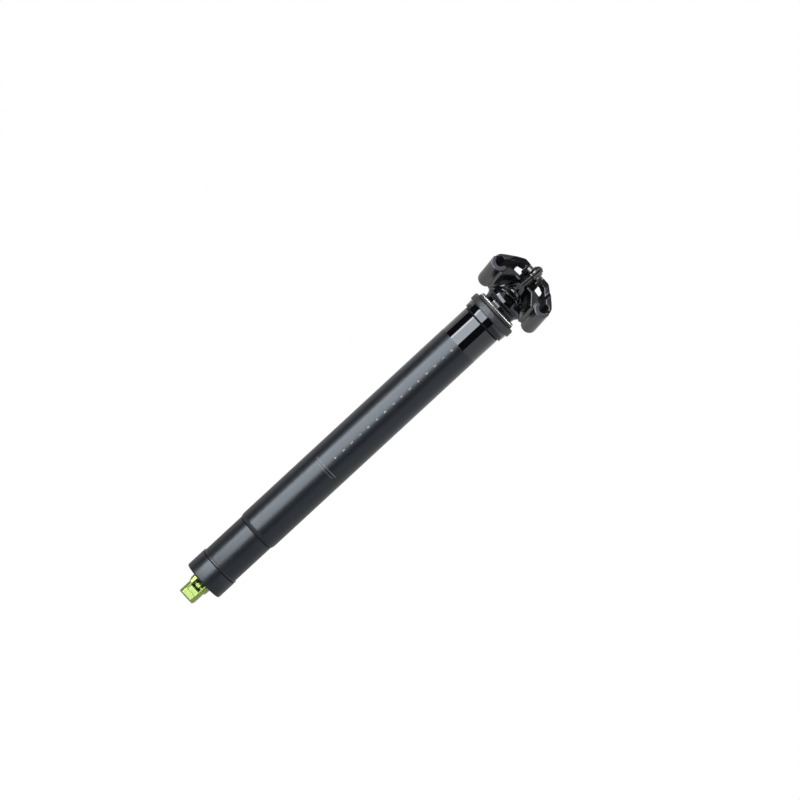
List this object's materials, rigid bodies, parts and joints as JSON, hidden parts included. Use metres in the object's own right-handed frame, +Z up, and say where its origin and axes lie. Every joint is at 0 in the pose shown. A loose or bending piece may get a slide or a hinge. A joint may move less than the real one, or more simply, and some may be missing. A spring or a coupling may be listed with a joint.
{
  "type": "dropper seatpost",
  "caption": "Telescopic dropper seatpost, fully lowered: outer tube with sealed collar, sliding inner post with gas cartridge, cable actuator and tilting rail clamp held by ball-seated bolts.",
  "frame": {"origin": "on the post axis, where the seat tube's top edge comes to lie", "axes": "+Z up the post, +X to the front of the bicycle, +Y to the rider's left"},
  "size_m": [0.0506, 0.0558, 0.3372],
  "materials": {
    "matte_black": "bead-blasted and anodised black",
    "gloss_black": "polished and anodised black",
    "black_cap": "satin, anodised black",
    "rubber": "matt",
    "foam": "open-pored, greased",
    "light_spring": "bright fine coil",
    "bushing": "low-friction liner",
    "brass": "machined",
    "bright_steel": "ground",
    "chromed_rod": "hard chromed",
    "black_steel": "black oxide",
    "green": "green anodised",
    "pale_plastic": "slippery ring",
    "bare_aluminium": "drawn tube"
  },
  "bodies": {
    "lower": {"outer_tube": "matte_black", "top_collar": "black_cap", "wiper_seal": "rubber", "garter_spring": "light_spring", "foam_ring": "foam", "upper_bushing": "bushing", "bottom_cap": "black_cap", "cartridge_rod": "chromed_rod", "cartridge_piston": "brass", "piston_ring": "pale_plastic", "actuator_body": "green", "lever_pin": "black_steel"},
    "lever": {"actuator_lever": "green"},
    "cable_anchor": {"cable_barrel": "bright_steel", "cable_grub_screw": "black_steel"},
    "valve": {"valve_pin": "bright_steel"},
    "upper": {"inner_tube": "gloss_black", "lower_bushing": "bushing", "guide_keys": "brass", "post_head": "gloss_black", "cartridge_tube": "bare_aluminium", "cartridge_cap": "bare_aluminium", "rod_guide": "bare_aluminium", "rod_seal": "rubber"},
    "float": {"floating_piston": "bare_aluminium", "floating_piston_ring": "rubber"},
    "clamp": {"rail_cradle": "matte_black", "rail_clamp": "matte_black"},
    "rear_bolt": {"rear_clamp_bolt": "black_steel"},
    "front_bolt": {"front_clamp_bolt": "black_steel"},
    "rear_nut": {"rear_barrel_nut": "black_steel"},
    "front_nut": {"front_barrel_nut": "black_steel"}
  },
  "joints": [
    {"name": "saddle_travel", "type": "slide", "parent": "lower", "child": "upper", "axis": [0, 0, 1], "range_m": [0, 0.21]},
    {"name": "float_shift", "type": "slide", "parent": "upper", "child": "float", "axis": [0, 0, 1], "range_m": [-0.0375, 0]},
    {"name": "clamp_tilt", "type": "hinge", "parent": "upper", "child": "clamp", "pos_m": [0, 0, 0.0323], "axis": [0, 1, 0], "range_deg": [-5, 7]},
    {"name": "rear_bolt_swivel", "type": "hinge", "parent": "upper", "child": "rear_bolt", "pos_m": [-0.01958, 0, 0.02921], "axis": [0, 1, 0], "range_deg": [-2.8, 3.9]},
    {"name": "front_bolt_swivel", "type": "hinge", "parent": "upper", "child": "front_bolt", "pos_m": [0.019, 0, 0.0173], "axis": [0, 1, 0], "range_deg": [-2, 2.8]},
    {"name": "rear_nut_swivel", "type": "hinge", "parent": "clamp", "child": "rear_nut", "pos_m": [-0.01097, 0, 0.05054], "axis": [0, 1, 0], "range_deg": [-3.2, 2.3]},
    {"name": "front_nut_swivel", "type": "hinge", "parent": "clamp", "child": "front_nut", "pos_m": [0.02181, 0, 0.03729], "axis": [0, 1, 0], "range_deg": [-4.3, 3.1]},
    {"name": "valve_lift", "type": "slide", "parent": "lower", "child": "valve", "axis": [0, 0, 1], "range_m": [0, 0.00176], "stiffness_N_per_m": 1500, "springref_m": -0.004},
    {"name": "lever_pivot", "type": "hinge", "parent": "lower", "child": "lever", "pos_m": [0.0046, 0, -0.2686], "axis": [0, 1, 0], "range_deg": [0, 22]},
    {"name": "anchor_swivel", "type": "hinge", "parent": "lever", "child": "cable_anchor", "pos_m": [0.0116, 0, -0.2658], "axis": [0, 1, 0], "range_deg": [-22, 0]}
  ],
  "couplings": [
    {"joint": "float_shift", "follows": "saddle_travel", "ratio": -0.17782},
    {"joint": "rear_bolt_swivel", "follows": "clamp_tilt", "ratio": 0.55472},
    {"joint": "front_bolt_swivel", "follows": "clamp_tilt", "ratio": 0.38875},
    {"joint": "rear_nut_swivel", "follows": "clamp_tilt", "ratio": -0.44528},
    {"joint": "front_nut_swivel", "follows": "clamp_tilt", "ratio": -0.61125},
    {"joint": "lever_pivot", "follows": "valve_lift", "rad_per_m": 217.39},
    {"joint": "anchor_swivel", "follows": "valve_lift", "rad_per_m": -217.39}
  ]
}
